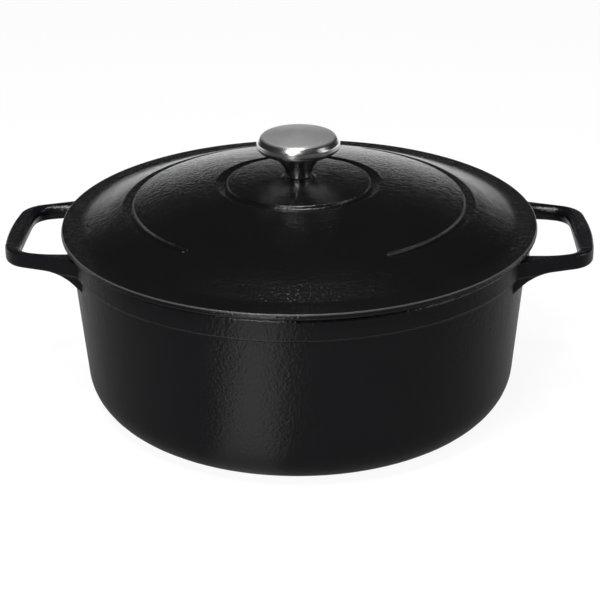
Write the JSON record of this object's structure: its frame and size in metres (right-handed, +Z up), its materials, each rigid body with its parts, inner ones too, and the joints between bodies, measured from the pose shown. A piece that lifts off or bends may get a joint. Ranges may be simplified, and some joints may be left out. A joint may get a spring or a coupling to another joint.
{
  "type": "dutch oven",
  "caption": "Round enamelled cast iron dutch oven with a loop handle on each side and a shallow domed lid that lifts off by a steel knob.",
  "frame": {"origin": "centre of the flat underside of the base, on the surface the pot stands on", "axes": "+Z up; X through both handles; -Y is the front, the side of the lid where its outer ring has the wide plain place"},
  "size_m": [0.3574, 0.29, 0.1711],
  "materials": {
    "black_enamel": "semi-gloss black enamel with a fine pebbled texture",
    "satin_steel": "satin",
    "polished_steel": "polished",
    "zinc_plated_steel": "zinc plated",
    "seal_rubber": "matt"
  },
  "bodies": {
    "pot": {"pot_casting": "black_enamel"},
    "lid": {"lid_casting": "black_enamel", "knob_cap": "satin_steel", "knob_body": "polished_steel", "knob_insert": "zinc_plated_steel", "seal_washer": "seal_rubber", "knob_screw": "zinc_plated_steel", "flat_washer": "zinc_plated_steel", "spring_washer": "zinc_plated_steel"}
  },
  "joints": [
    {"name": "lid_lift", "type": "slide", "parent": "pot", "child": "lid", "axis": [0, 0, 1], "range_m": [0, 0.15]}
  ]
}
